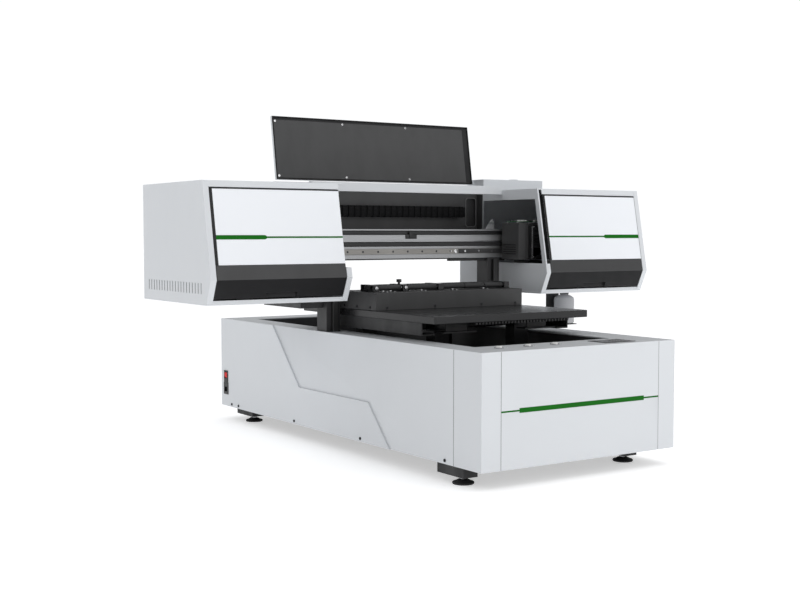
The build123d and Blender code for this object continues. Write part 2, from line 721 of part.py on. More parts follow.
carriage_x = (carriage_low_x, carriage_low_x + 200)
carriage_y = (beam_front - 95, x_rail_front - 1)
carriage_z = (beam_z - 5, beam_top + 20)
back_x = (carriage_x[0] + 2, carriage_x[1] - 2)
back_y = (beam_front - 36, beam_front - 30)
back_plate = block(back_x, back_y, (carriage_z[0] + 10, carriage_z[1] - 6))
clasp_z = (x_rail_z[0] - 8, x_rail_z[1] + 7)
clasp = block((back_x[0] + 20, back_x[1] - 20), (back_y[1], beam_front - 2), clasp_z)
rail_slot_z = (x_rail_z[0] - running_gap, x_rail_z[1] + running_gap)
clasp -= block(back_x, (x_rail_front - running_gap, beam_front), rail_slot_z)
chain_arm_x = (back_x[1] - 60, back_x[1] - 20)
chain_arm_y = (back_y[0], beam_front + beam_depth + 30)
chain_arm = block(chain_arm_x, chain_arm_y, (carriage_z[1] - 8, carriage_z[1] - 4))
add("carriage_frame", back_plate + clasp + chain_arm)
cover_outer = block(carriage_x, carriage_y, carriage_z)
cover_inner_x = (carriage_x[0] + 2, carriage_x[1] - 2)
cover_inner_y = (carriage_y[0] + 2, carriage_y[1] + 1)
cover = cover_outer - block(cover_inner_x, cover_inner_y, (carriage_z[0] - 1, carriage_z[1] - 2))
for index in range(5):
    slot_z = carriage_z[0] + 16 + index * 7
    slot_y = (carriage_y[0] + 14, carriage_y[1] - 5)
    cover -= block((carriage_x[0] - 1, carriage_x[0] + 3), slot_y, (slot_z, slot_z + 3))
add("carriage_cover", cover)
heads = []
for index in range(3):
    x_low = carriage_x[0] + 45 + index * 44
    print_head_y = (carriage_y[0] + 3, back_y[0] - 1)
    heads.append(block((x_low, x_low + 32), print_head_y, (carriage_z[0] + 1, carriage_z[0] + 80)))
add("print_heads", *heads)
lamp_x = (carriage_x[0] + 38, carriage_x[0] + 105)
lamp_y = (carriage_y[0] - 22, carriage_y[0])
lamp = block(lamp_x, lamp_y, (carriage_z[0], carriage_z[1] - 6))
for index in range(6):
    fin_z = carriage_z[0] + 14 + index * 14
    lamp -= block((lamp_x[0] + 6, lamp_x[1] - 6), (lamp_y[0] - 1, lamp_y[0] + 5), (fin_z, fin_z + 7))
add("uv_lamp", lamp)

# ======================= Output =======================

os.makedirs("parts", exist_ok=True)
for name, shape in parts.items():
    export_step(shape, f"parts/{name}.step")
print(len(parts), "nodes")
everything = Compound(children=[shape for shape in parts.values()])
low = everything.bounding_box().min
high = everything.bounding_box().max
print("low", low, "high", high)
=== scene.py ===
import math

import bmesh
import bpy
from mathutils import Matrix, Vector


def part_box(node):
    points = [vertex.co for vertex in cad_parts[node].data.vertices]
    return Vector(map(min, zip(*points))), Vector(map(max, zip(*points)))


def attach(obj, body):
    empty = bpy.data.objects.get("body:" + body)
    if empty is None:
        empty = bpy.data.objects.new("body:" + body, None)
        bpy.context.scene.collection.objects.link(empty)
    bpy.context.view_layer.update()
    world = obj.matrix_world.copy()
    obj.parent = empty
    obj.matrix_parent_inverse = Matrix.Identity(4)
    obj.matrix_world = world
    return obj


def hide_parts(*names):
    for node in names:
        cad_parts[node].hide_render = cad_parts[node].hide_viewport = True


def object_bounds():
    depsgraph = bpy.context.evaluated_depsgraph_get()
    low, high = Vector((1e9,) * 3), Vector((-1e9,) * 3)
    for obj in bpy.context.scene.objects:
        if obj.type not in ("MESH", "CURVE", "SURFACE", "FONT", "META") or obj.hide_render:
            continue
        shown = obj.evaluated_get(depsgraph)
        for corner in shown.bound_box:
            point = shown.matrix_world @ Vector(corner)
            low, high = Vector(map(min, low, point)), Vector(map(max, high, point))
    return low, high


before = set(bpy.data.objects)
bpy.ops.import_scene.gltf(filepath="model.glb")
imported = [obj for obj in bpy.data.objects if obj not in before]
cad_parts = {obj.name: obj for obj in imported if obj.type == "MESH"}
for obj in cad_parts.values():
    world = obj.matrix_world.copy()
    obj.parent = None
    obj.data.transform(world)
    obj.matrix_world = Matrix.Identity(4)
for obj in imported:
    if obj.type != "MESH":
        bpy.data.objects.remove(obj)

cad_box = [list(corner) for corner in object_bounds()]


# ---- Studio -------------------------------------------------------------------------------------
# A pale floor that runs on into a white sky, which is dimmer on the operator's side, a large soft
# light in front, one high over the front and a faint one on the left, and a low camera front left.
FLOOR_REACH = 200
FLOOR_GLOW = 0.46
BRIGHT_SIDE = (0.55, 0.83, 0.0)
SKY_DIM, SKY_BRIGHT = 0.48, 1.04
CAMERA_PLACE = (-2.0806, -2.9935, 0.6196)
CAMERA_DOWN, CAMERA_HEADING = 3.173, -33.695

floor_mesh = bmesh.new()
bmesh.ops.create_grid(floor_mesh, x_segments=1, y_segments=1, size=FLOOR_REACH)
floor_data = bpy.data.meshes.new("floor")
floor_mesh.to_mesh(floor_data)
floor_mesh.free()
floor = bpy.data.objects.new("floor", floor_data)
bpy.context.scene.collection.objects.link(floor)
floor_paint = bpy.data.materials.new("studio_floor")
floor_paint.use_nodes = True
floor_shader = floor_paint.node_tree.nodes["Principled BSDF"]
floor_shader.inputs["Base Color"].default_value = (0.88, 0.88, 0.885, 1)
floor_shader.inputs["Roughness"].default_value = 0.95
floor_shader.inputs["Specular IOR Level"].default_value = 0.1
floor_shader.inputs["Emission Color"].default_value = (1, 1, 1, 1)
floor_shader.inputs["Emission Strength"].default_value = FLOOR_GLOW
floor_data.materials.append(floor_paint)

world = bpy.data.worlds.new("studio")
world.use_nodes = True
bpy.context.scene.world = world
sky_nodes, sky_links = world.node_tree.nodes, world.node_tree.links
direction = sky_nodes.new("ShaderNodeTexCoord")
facing = sky_nodes.new("ShaderNodeVectorMath")
facing.operation = "DOT_PRODUCT"
facing.inputs[1].default_value = BRIGHT_SIDE
sky_links.new(direction.outputs["Generated"], facing.inputs[0])
brightness = sky_nodes.new("ShaderNodeMapRange")
brightness.inputs["From Min"].default_value = -0.2
brightness.inputs["From Max"].default_value = 0.6
brightness.inputs["To Min"].default_value = SKY_DIM
brightness.inputs["To Max"].default_value = SKY_BRIGHT
sky_links.new(facing.outputs["Value"], brightness.inputs["Value"])
sky_links.new(brightness.outputs["Result"], sky_nodes["Background"].inputs["Strength"])
sky_nodes["Background"].inputs["Color"].default_value = (0.98, 0.99, 1.0, 1)


def soft_light(name, place, target, size, energy):
    """Square area light, turned to face a point."""
    lamp = bpy.data.lights.new(name, "AREA")
    lamp.size = size
    lamp.energy = energy
    holder = bpy.data.objects.new(name, lamp)
    holder.location = place
    aim = Vector(target) - Vector(place)
    holder.rotation_euler = aim.to_track_quat("-Z", "Y").to_euler()
    bpy.context.scene.collection.objects.link(holder)


soft_light("key", (1.0, -4.6, 1.9), (0.0, 0.0, 0.5), 2.8, 33)
soft_light("fill", (-4.4, -0.6, 2.4), (0.0, 0.0, 0.7), 2.2, 2)
soft_light("overhead", (0.9, -1.9, 3.6), (0.0, 0.0, 0.6), 2.0, 20)
bpy.context.scene.view_settings.view_transform = "Standard"

view = bpy.data.cameras.new("view")
view.sensor_width = 36
view.lens = 54.66
camera = bpy.data.objects.new("view", view)
camera.location = CAMERA_PLACE
camera.rotation_euler = (math.radians(90 - CAMERA_DOWN), 0, math.radians(CAMERA_HEADING))
bpy.context.scene.collection.objects.link(camera)
bpy.context.scene.camera = camera


# ---- Inner frame, trough and floor steelwork ----------------------------------------------------
# Square steel tubes welded up and painted black, with a folded black pan let in between them.
# Paint lies over mill scale, so it is slightly rough and a little uneven.
def blank_finish(name):
    """New material with its node tree, its shader and the object coordinates it is painted by."""
    material = bpy.data.materials.new(name)
    material.use_nodes = True
    nodes = material.node_tree.nodes
    place = nodes.new("ShaderNodeTexCoord")
    return material, nodes, material.node_tree.links, nodes["Principled BSDF"], place


def grain(nodes, links, place, scale, detail=4.0, stretch=(1, 1, 1)):
    """Noise value over the object, stretched along an axis for drawn or brushed metal."""
    mapping = nodes.new("ShaderNodeMapping")
    mapping.inputs["Scale"].default_value = stretch
    links.new(place.outputs["Object"], mapping.inputs["Vector"])
    noise = nodes.new("ShaderNodeTexNoise")
    noise.inputs["Scale"].default_value = scale
    noise.inputs["Detail"].default_value = detail
    links.new(mapping.outputs["Vector"], noise.inputs["Vector"])
    return noise.outputs["Fac"]


def spread(nodes, links, value, low, high, start=0.3, end=0.7):
    """Value stretched from a noise's middle range to the range that a socket needs."""
    ramp = nodes.new("ShaderNodeMapRange")
    ramp.inputs["From Min"].default_value = start
    ramp.inputs["From Max"].default_value = end
    ramp.inputs["To Min"].default_value = low
    ramp.inputs["To Max"].default_value = high
    links.new(value, ramp.inputs["Value"])
    return ramp.outputs["Result"]


def tint(nodes, links, value, dark, light):
    """Colour between two shades, chosen by a value from 0 to 1."""
    mix = nodes.new("ShaderNodeMix")
    mix.data_type = "RGBA"
    mix.inputs["A"].default_value = (*dark, 1)
    mix.inputs["B"].default_value = (*light, 1)
    links.new(value, mix.inputs["Factor"])
    return mix.outputs["Result"]


def relief(nodes, links, value, strength, depth):
    """Bump from a value, as deep as the real texture."""
    bump = nodes.new("ShaderNodeBump")
    bump.inputs["Strength"].default_value = strength
    bump.inputs["Distance"].default_value = depth
    links.new(value, bump.inputs["Height"])
    return bump.outputs["Normal"]


def powder_coat(name, colour, low=0.42, high=0.55, fineness=1100, strength=0.22, shade=0.05):
    """Baked powder: an orange-peel skin, faintly speckled, with cloudy changes in its gloss."""
    material, nodes, links, shader, place = blank_finish(name)
    peel = grain(nodes, links, place, fineness, 2.0)
    cloud = grain(nodes, links, place, 2.6, 3.0)
    wipe = grain(nodes, links, place, 30.0, 5.0, (1, 1, 0.35))
    speck = spread(nodes, links, peel, 0.0, 1.0, 0.2, 0.8)
    blend = nodes.new("ShaderNodeMath")
    blend.operation = "MULTIPLY_ADD"
    links.new(speck, blend.inputs[0])
    blend.inputs[1].default_value = 0.35
    links.new(spread(nodes, links, cloud, 0.0, 0.65), blend.inputs[2])
    dark = tuple(channel * (1 - shade) for channel in colour)
    light = tuple(min(1.0, channel * (1 + shade * 0.4)) for channel in colour)
    links.new(tint(nodes, links, blend.outputs["Value"], dark, light), shader.inputs["Base Color"])
    links.new(spread(nodes, links, wipe, low, high), shader.inputs["Roughness"])
    links.new(relief(nodes, links, peel, strength, 0.0003), shader.inputs["Normal"])
    return material


def dress(finish, *nodes_to_dress):
    """Put a finish on CAD pieces that are shown as they are."""
    for node in nodes_to_dress:
        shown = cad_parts[node]
        if not shown.material_slots:
            shown.data.materials.append(None)
        for holder in shown.material_slots:
            holder.material = finish


black_paint = powder_coat("black_frame_paint", (0.020, 0.020, 0.021), 0.45, 0.7, 500, 0.35, 0.25)
dark_coat = powder_coat("dark_powder_coat", (0.026, 0.026, 0.027), 0.42, 0.58, 1300, 0.25, 0.12)
dress(black_paint, "base_frame")
dress(dark_coat, "trough_pan")


# ---- Corner brackets ----------------------------------------------------------------------------
# Brackets under the four corners: thick folded steel blocks bolted up under the frame and painted
# black. Their edges are broken by hand, as are those of every folded or sawn piece that follows.
EASE_ANGLE, SHARP_ANGLE = math.radians(28), math.radians(35)


def eased(name, node, finish, body, edge=0.0012, segments=2):
    """A CAD piece with its edges rounded, shown in the place of its node."""
    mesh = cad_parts[node].data.copy()
    mesh.name = name
    work = bmesh.new()
    work.from_mesh(mesh)
    bmesh.ops.remove_doubles(work, verts=work.verts, dist=0.00001)
    bmesh.ops.dissolve_limit(work, angle_limit=math.radians(1), verts=work.verts, edges=work.edges)
    for face in work.faces:
        face.smooth = True
        face.material_index = 0
    work.to_mesh(mesh)
    work.free()
    mesh.materials.clear()
    mesh.materials.append(finish)
    made = bpy.data.objects.new(name, mesh)
    bpy.context.scene.collection.objects.link(made)
    rounding = made.modifiers.new("edges", "BEVEL")
    rounding.width = edge
    rounding.segments = segments
    rounding.limit_method = "ANGLE"
    rounding.angle_limit = EASE_ANGLE
    rounding.harden_normals = True
    mesh.set_sharp_from_angle(angle=EASE_ANGLE)
    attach(made, body)
    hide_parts(node)
    return made


def finished(name, work, finish, body):
    """Turn a bmesh into a piece with its finish, riding on a body."""
    for face in work.faces:
        face.smooth = True
    bmesh.ops.recalc_face_normals(work, faces=work.faces)
    mesh = bpy.data.meshes.new(name)
    work.to_mesh(mesh)
    work.free()
    mesh.materials.append(finish)
    mesh.set_sharp_from_angle(angle=SHARP_ANGLE)
    made = bpy.data.objects.new(name, mesh)
    bpy.context.scene.collection.objects.link(made)
    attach(made, body)
    return made


def bar(work, low, high, edge=0.0008):
    """Rectangular bar between two corners, with all its edges rounded."""
    low, high = Vector(low), Vector(high)
    made = bmesh.ops.create_cube(work, size=1.0)
    size = high - low
    shape = Matrix.Translation((low + high) / 2) @ Matrix.Diagonal((*size, 1))
    bmesh.ops.transform(work, matrix=shape, verts=made["verts"])
    if edge:
        edges = list({e for v in made["verts"] for e in v.link_edges})
        bmesh.ops.bevel(
            work, geom=edges, offset=min(edge, min(size) * 0.45), segments=2, profile=0.5,
            affect="EDGES", material=-1, clamp_overlap=True,
        )


def pin(work, start, end, radius, sides=24, edge=0.0):
    """Round pin from one point to another, its two rims rounded."""
    start, end = Vector(start), Vector(end)
    along = end - start
    turn = along.to_track_quat("Z", "Y").to_matrix().to_4x4()
    made = bmesh.ops.create_cone(
        work, cap_ends=True, cap_tris=False, segments=sides, radius1=radius, radius2=radius,
        depth=along.length, matrix=Matrix.Translation((start + end) / 2) @ turn,
    )
    if edge:
        rims = [e for e in {e for v in made["verts"] for e in v.link_edges}
                if any(len(f.verts) > 4 for f in e.link_faces)]
        bmesh.ops.bevel(
            work, geom=rims, offset=edge, segments=2, profile=0.5, affect="EDGES", material=-1,
        )
    return made["verts"]


def screw(work, place, outward, radius, height=0.002):
    """Socket screw head: a low round head with a six-sided recess."""
    place, outward = Vector(place), Vector(outward).normalized()
    made = pin(work, place - outward * 0.0004, place + outward * height, radius, 16)
    around = {f for v in made for f in v.link_faces}
    top = max(around, key=lambda f: f.calc_center_median().dot(outward))
    bmesh.ops.inset_region(work, faces=[top], thickness=radius * 0.16, depth=0.0)
    bmesh.ops.translate(work, verts=top.verts, vec=outward * height * 0.18)
    bmesh.ops.inset_region(work, faces=[top], thickness=radius * 0.34, depth=0.0)
    pushed = bmesh.ops.extrude_discrete_faces(work, faces=[top])
    bmesh.ops.translate(work, verts=pushed["faces"][0].verts, vec=-outward * height * 0.7)


eased("corner_brackets", "foot_brackets", black_paint, "base", 0.0015)


# ---- Levelling feet -----------------------------------------------------------------------------
# Four zinc-plated studs screwed through the brackets, each with a lock nut, standing on a moulded
# black rubber pad with a raised hub and a grip ring.
def ground_steel(
    name, colour=(0.60, 0.60, 0.61), low=0.16, high=0.34, stretch=(1, 1, 1), scale=240,
):
    """Machined steel: fine tool lines one way, bright but not a mirror."""
    material, nodes, links, shader, place = blank_finish(name)
    lines = grain(nodes, links, place, scale, 6.0, stretch)
    cloud = grain(nodes, links, place, 9.0, 3.0)
    shader.inputs["Metallic"].default_value = 1.0
    dark = tuple(channel * 0.82 for channel in colour)
    patches = spread(nodes, links, cloud, 0.0, 1.0)
    links.new(tint(nodes, links, patches, dark, colour), shader.inputs["Base Color"])
    links.new(spread(nodes, links, lines, low, high), shader.inputs["Roughness"])
    links.new(relief(nodes, links, lines, 0.08, 0.0001), shader.inputs["Normal"])
    return material


def turned(work, outline, centre, steps):
    """Round body from an outline of radius and height, spun about an upright axis."""
    verts = [work.verts.new((centre[0] + r, centre[1], z)) for r, z in outline]
    edges = [work.edges.new(pair) for pair in zip(verts, verts[1:])]
    bmesh.ops.spin(
        work, geom=verts + edges, cent=(centre[0], centre[1], 0), axis=(0, 0, 1), angle=math.tau,
        steps=steps, use_merge=True, use_duplicate=False,
    )
    bmesh.ops.remove_doubles(work, verts=work.verts, dist=0.00001)


def moulded(name, colour, low=0.38, high=0.55, fineness=1600, strength=0.25, shade=0.15):
    """Moulded plastic or rubber: a fine spark-eroded texture with slightly uneven gloss."""
    material, nodes, links, shader, place = blank_finish(name)
    texture = grain(nodes, links, place, fineness, 1.0)
    flow = grain(nodes, links, place, 14.0, 4.0)
    dark = tuple(channel * (1 - shade) for channel in colour)
    light = tuple(min(1.0, channel * (1 + shade)) for channel in colour)
    patches = spread(nodes, links, flow, 0.0, 1.0)
    links.new(tint(nodes, links, patches, dark, light), shader.inputs["Base Color"])
    links.new(spread(nodes, links, flow, low, high), shader.inputs["Roughness"])
    links.new(relief(nodes, links, texture, strength, 0.00015), shader.inputs["Normal"])
    return material


pad_rubber = moulded("pad_rubber", (0.008, 0.008, 0.009), 0.6, 0.8, 900, 0.4)
zinc = ground_steel("zinc_plate", (0.55, 0.56, 0.58), 0.25, 0.45)
dress(zinc, "foot_studs")
pads = bmesh.new()
pad_radius = 0.0275
pad_outline = [
    (0.0, 0.0), (pad_radius - 0.0015, 0.0), (pad_radius, 0.0015), (pad_radius, 0.0045),
    (pad_radius - 0.0015, 0.006), (0.019, 0.0075), (0.0175, 0.0095), (0.012, 0.012), (0.0, 0.012),
]
for centre in ((-0.300, -0.605), (0.240, -0.605), (-0.275, 0.580), (0.240, 0.580)):
    turned(pads, pad_outline, centre, 48)
pad_piece = finished("levelling_pads", pads, pad_rubber, "base")
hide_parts("foot_pads")


# ---- Base covers --------------------------------------------------------------------------------
# Folded steel covers in a fine textured white powder coat: two sides with a pressed step, the
# front, the rear with its cooling slots, and two corner posts. The deck plates are light grey, and
# a thin shadow gap shows where the corner posts meet the front and side covers.
SEAM_PROUD, SEAM_HALF, SEAM_DEEP, SEAM_SHORT = 0.0002, 0.0005, 0.0006, 0.001
white_coat = powder_coat("white_powder_coat", (0.70, 0.72, 0.745), 0.4, 0.52, 1000, 0.16, 0.025)
for node in (
    "left_side_panel", "right_side_panel", "front_panel", "rear_panel", "front_corner_posts",
):
    eased(node + "_cover", node, white_coat, "base", 0.0011)
deck_coat = powder_coat("deck_light_grey", (0.42, 0.43, 0.445), 0.5, 0.62, 1000, 0.16, 0.03)
eased("deck_cover", "deck_plates", deck_coat, "base", 0.0008)
seams = bmesh.new()
panel_low, panel_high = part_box("front_panel")
post_low, post_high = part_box("front_corner_posts")
for seam_x in (panel_low.x, panel_high.x):
    bar(seams, (seam_x - SEAM_HALF, panel_low.y - SEAM_PROUD, panel_low.z + SEAM_SHORT),
        (seam_x + SEAM_HALF, panel_low.y + SEAM_DEEP, panel_high.z - SEAM_SHORT), 0)
for face_x in (post_low.x, post_high.x):
    bar(seams, (face_x - SEAM_PROUD, post_high.y - SEAM_DEEP, post_low.z + SEAM_SHORT),
        (face_x + SEAM_PROUD, post_high.y + SEAM_DEEP, post_high.z - SEAM_SHORT), 0)
seam_shadow = moulded("cover_seam_shadow", (0.16, 0.16, 0.165), 0.7, 0.85)
finished("cover_seams", seams, seam_shadow, "base")


# ---- Vent filters -------------------------------------------------------------------------------
# A thin black foam filter clipped inside the rear cover behind each group of cooling slots.
VENT_MIDDLE, VENT_HALF, VENT_FOOT, VENT_TOP = 0.1625, 0.056, 0.114, 0.201
filter_foam = moulded("filter_foam", (0.006, 0.006, 0.0065), 0.8, 0.95, 900, 0.5)
filters = bmesh.new()
rear_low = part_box("rear_panel")[0]
for middle in (-VENT_MIDDLE, VENT_MIDDLE):
    bar(filters, (middle - VENT_HALF, rear_low.y - 0.0008, rear_low.z + VENT_FOOT),
        (middle + VENT_HALF, rear_low.y - 0.0001, rear_low.z + VENT_TOP), 0)
finished("rear_vent_filters", filters, filter_foam, "base")


# ---- Cover screws -------------------------------------------------------------------------------
# Black socket screws along the bottom edge of both side covers and down the rear cover's edges.
COVER_SCREW_RADIUS = 0.0042
SIDE_SCREW_Z, STEP_END_Y, STEP_HEIGHT = 0.0535, -0.3, 0.003
black_screw = ground_steel("black_oxide_screw", (0.045, 0.045, 0.048), 0.3, 0.5)
base_screws = bmesh.new()
side_low, side_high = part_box("left_side_panel")
for place_y in (-0.562, -0.171, 0.206, 0.583, 0.632):
    face_x = side_high.x - STEP_HEIGHT if place_y < STEP_END_Y else side_low.x
    screw(base_screws, (face_x, place_y, SIDE_SCREW_Z), (-1, 0, 0), COVER_SCREW_RADIUS)
    screw(base_screws, (-face_x, place_y, SIDE_SCREW_Z), (1, 0, 0), COVER_SCREW_RADIUS)
for place_x in (-0.300, 0.0, 0.300):
    for place_z in (0.058, 0.320):
        screw(base_screws, (place_x, cad_box[1][1], place_z), (0, 1, 0), COVER_SCREW_RADIUS)
finished("cover_screws", base_screws, black_screw, "base")


# ---- Front stripe -------------------------------------------------------------------------------
# A green acrylic strip let into a groove across the front cover, thin at both ends.
def gloss(name, colour, low=0.12, high=0.26, coat=0.4):
    """Glossy coloured plastic with faint ripples and handling marks."""
    material, nodes, links, shader, place = blank_finish(name)
    ripple = grain(nodes, links, place, 60.0, 2.0)
    marks = grain(nodes, links, place, 18.0, 6.0, (1, 1, 0.4))
    dark = tuple(channel * 0.9 for channel in colour)
    patches = spread(nodes, links, marks, 0.0, 1.0)
    links.new(tint(nodes, links, patches, dark, colour), shader.inputs["Base Color"])
    links.new(spread(nodes, links, marks, low, high), shader.inputs["Roughness"])
    links.new(relief(nodes, links, ripple, 0.04, 0.0002), shader.inputs["Normal"])
    shader.inputs["Coat Weight"].default_value = coat
    return material


def dulled(material, shine):
    """Weaken a finish's mirror-like part, as dust and fine wear do."""
    material.node_tree.nodes["Principled BSDF"].inputs["Specular IOR Level"].default_value = shine


green_acrylic = gloss("green_acrylic", (0.0005, 0.135, 0.001), 0.4, 0.52, 0.0)
dulled(green_acrylic, 0.15)
eased("front_stripe_strip", "front_stripe", green_acrylic, "base", 0.0003)


# ---- Push buttons and keypad --------------------------------------------------------------------
# Three stainless push buttons with a white domed lens in a turned bezel, a small lamp beside each,
# and a dark membrane keypad with blank raised keys.
LAMP_OFFSET, LAMP_RADIUS = 0.024, 0.0028
deck_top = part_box("deck_plates")[1].z
stainless = ground_steel("turned_stainless", (0.68, 0.68, 0.69), 0.14, 0.28)
white_lens = gloss("white_lens", (0.80, 0.80, 0.78), 0.15, 0.3, 0.6)
lamp_glow = gloss("lamp_lens", (0.75, 0.78, 0.80), 0.1, 0.2, 0.6)
eased("button_collars", "button_bezels", stainless, "base", 0.0006, 2)
lamps = bmesh.new()
for button in ("left_button", "middle_button", "right_button"):
    low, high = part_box(button)
    centre = (low + high) / 2
    radius = (high.x - low.x) / 2
    cap = bmesh.new()
    outline = [
        (0.0, low.z), (radius, low.z), (radius, high.z - 0.0022),
        (radius - 0.0006, high.z - 0.0010), (radius * 0.72, high.z - 0.0001),
        (radius * 0.4, high.z), (0.0, high.z),
    ]
    turned(cap, outline, centre, 40)
    lens = finished(button + "_lens", cap, white_lens, button)
    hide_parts(button)
    lamp_x = centre.x + LAMP_OFFSET
    pin(lamps, (lamp_x, centre.y, deck_top - 0.0002), (lamp_x, centre.y, deck_top + 0.0015),
        LAMP_RADIUS, 20, 0.0006)
finished("button_lamps", lamps, lamp_glow, "base")

KEY_SIDE, KEY_PITCH, WIDE_PITCH, KEY_SINK, KEY_RISE = 0.0105, 0.0145, 0.0150, 0.0004, 0.0007
key_film = moulded("keypad_film", (0.012, 0.012, 0.013), 0.22, 0.4, 2500, 0.12)
key_face = moulded("keypad_keys", (0.10, 0.10, 0.105), 0.3, 0.5, 2500, 0.12)
eased("keypad_overlay", "keypad", key_film, "base", 0.0004)
pad_low, pad_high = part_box("keypad")
keys = bmesh.new()
bar(keys, (pad_low.x + 0.008, pad_high.y - 0.030, pad_high.z - KEY_SINK),
    (pad_low.x + 0.052, pad_high.y - 0.008, pad_high.z + 0.0006), 0.0004)
key_corners = [(pad_low.x + 0.060 + column * KEY_PITCH, pad_low.y + 0.036 + row * KEY_PITCH)
               for column in range(3) for row in range(2)]
key_corners += [(pad_low.x + 0.010 + column * WIDE_PITCH, pad_low.y + 0.010) for column in range(6)]
for left, front in key_corners:
    bar(keys, (left, front, pad_high.z - KEY_SINK),
        (left + KEY_SIDE, front + KEY_SIDE, pad_high.z + KEY_RISE), 0.0004)
finished("keypad_keys", keys, key_face, "base")


# ---- Mains inlet and power switch ---------------------------------------------------------------
# Black moulded inlet and switch frame snapped into the left side cover, with a glossy red rocker.
black_plastic = moulded("black_moulding", (0.011, 0.011, 0.012), 0.4, 0.55)
red_gloss = gloss("red_rocker_plastic", (0.72, 0.004, 0.003), 0.3, 0.42, 0.0)
dulled(red_gloss, 0.2)
eased("inlet_and_switch_frame", "power_inlet", black_plastic, "base", 0.0006)
eased("rocker_key", "power_rocker", red_gloss, "rocker", 0.0008, 3)


# ---- Bed drive ----------------------------------------------------------------------------------
# Ground linear rails, a ball screw with its bearings and the motors, all down in the trough.
SCREW_PITCH, RAIL_BOLT_PITCH, RAIL_BOLT_COUNT = 0.020, 0.060, 19
rail_steel = ground_steel("ground_rail_steel", (0.62, 0.62, 0.63), 0.16, 0.32, (1, 0.02, 1), 300)
screw_steel = ground_steel("rolled_screw_steel", (0.50, 0.50, 0.51), 0.2, 0.36)
dress(rail_steel, "bed_rails")
dress(screw_steel, "left_lift_screw", "right_lift_screw")
dress(black_plastic, "drive_motors")
eased("base_bearing_blocks", "base_bearings", rail_steel, "base", 0.001)
low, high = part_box("bed_screw")
thread = bmesh.new()
thread_radius = (high.x - low.x) / 2
centre_z = (low.z + high.z) / 2
rings = int((high.y - low.y - 0.15) / (SCREW_PITCH / 2))
pin(thread, (0, low.y, centre_z), (0, high.y, centre_z), thread_radius - 0.0012, 32, 0.0006)
for index in range(rings):
    start = low.y + 0.075 + index * SCREW_PITCH / 2
    end = start + SCREW_PITCH / 3.2
    pin(thread, (0, start, centre_z), (0, end, centre_z), thread_radius, 24, 0.0005)
spindle = finished("bed_ball_screw", thread, screw_steel, "bed_screw")
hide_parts("bed_screw")
rail_bolts = bmesh.new()
low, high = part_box("bed_rails")
for side in (-0.140, 0.140):
    for index in range(RAIL_BOLT_COUNT):
        y = low.y + 0.030 + index * RAIL_BOLT_PITCH
        screw(rail_bolts, (side, y, high.z - 0.0002), (0, 0, 1), 0.0045, 0.0006)
finished("bed_rail_bolts", rail_bolts, black_screw, "base")


# ---- Lift posts ---------------------------------------------------------------------------------
# Two thick black steel posts that carry the head, each with a ground rail bolted to its front.
eased("lift_post_columns", "lift_posts", dark_coat, "head", 0.002, 3)


# ---- Side boxes ---------------------------------------------------------------------------------
# Folded and welded sheet boxes at both ends of the head: outer cheek, top, rear and floor covers,
# and an inner cheek with a large window, all in the same white coat as the base.
for side in ("left", "right"):
    eased(side + "_box_shell", side + "_box_covers", white_coat, "head", 0.0012, 3)
eased("window_cheeks", "inner_cheeks", white_coat, "head", 0.0012, 3)
eased("centre_top_covers", "centre_covers", white_coat, "head", 0.0012, 3)
eased("light_housing_cover", "light_housing", white_coat, "head", 0.0015, 3)


# ---- Cheek vents --------------------------------------------------------------------------------
# A row of twenty narrow louvres pressed low in both outer cheeks: each slit is a strip of painted
# shadow on the cheek face, with a small raised lip behind it.
SLIT_COUNT, FIRST_SLIT_Y, SLIT_RUN, SLIT_HALF = 20, -0.103, 0.349, 0.0011
painted_slit_shade = moulded("vent_shadow", (0.010, 0.010, 0.011), 0.7, 0.85)
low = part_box("left_box_covers")[0]
slits = bmesh.new()
lips = bmesh.new()
vent_low, vent_high = 0.461, 0.489
for side in (-1, 1):
    face_x = side * -low.x
    for index in range(SLIT_COUNT):
        y = FIRST_SLIT_Y + index * SLIT_RUN / (SLIT_COUNT - 1)
        inner, outer = sorted((face_x - side * 0.0004, face_x + side * 0.0001))
        bar(slits, (inner, y - SLIT_HALF, vent_low), (outer, y + SLIT_HALF, vent_high), 0)
        inner, outer = sorted((face_x - side * 0.0006, face_x + side * 0.0009))
        bar(lips, (inner, y + SLIT_HALF, vent_low - 0.0005),
            (outer, y + 0.0032, vent_high + 0.0005), 0.0007)
finished("cheek_vent_slits", slits, painted_slit_shade, "head")
finished("cheek_vent_lips", lips, white_coat, "head")


# ---- Doors --------------------------------------------------------------------------------------
# Each door is a smooth bluish white leaf over a dark satin visor with a pull recess, sealed by a
# black rubber strip. Its green stripe is broad on the outer third and narrow on the rest.
STRIPE_Z, STRIPE_BROAD, STRIPE_NARROW = 0.6077, 0.0056, 0.0022
BROAD_REACH = {"left": 0.148, "right": 0.146}
PULL_X, PULL_HALF, PULL_TOP = 0.557, 0.048, 0.016


def raised(work, corners, lift):
    """Flat face over some corners, thickened by a shift."""
    flat = work.faces.new([work.verts.new(corner) for corner in corners])
    grown = bmesh.ops.extrude_face_region(work, geom=[flat])
    moved = [item for item in grown["geom"] if isinstance(item, bmesh.types.BMVert)]
    bmesh.ops.translate(work, verts=moved, vec=lift)


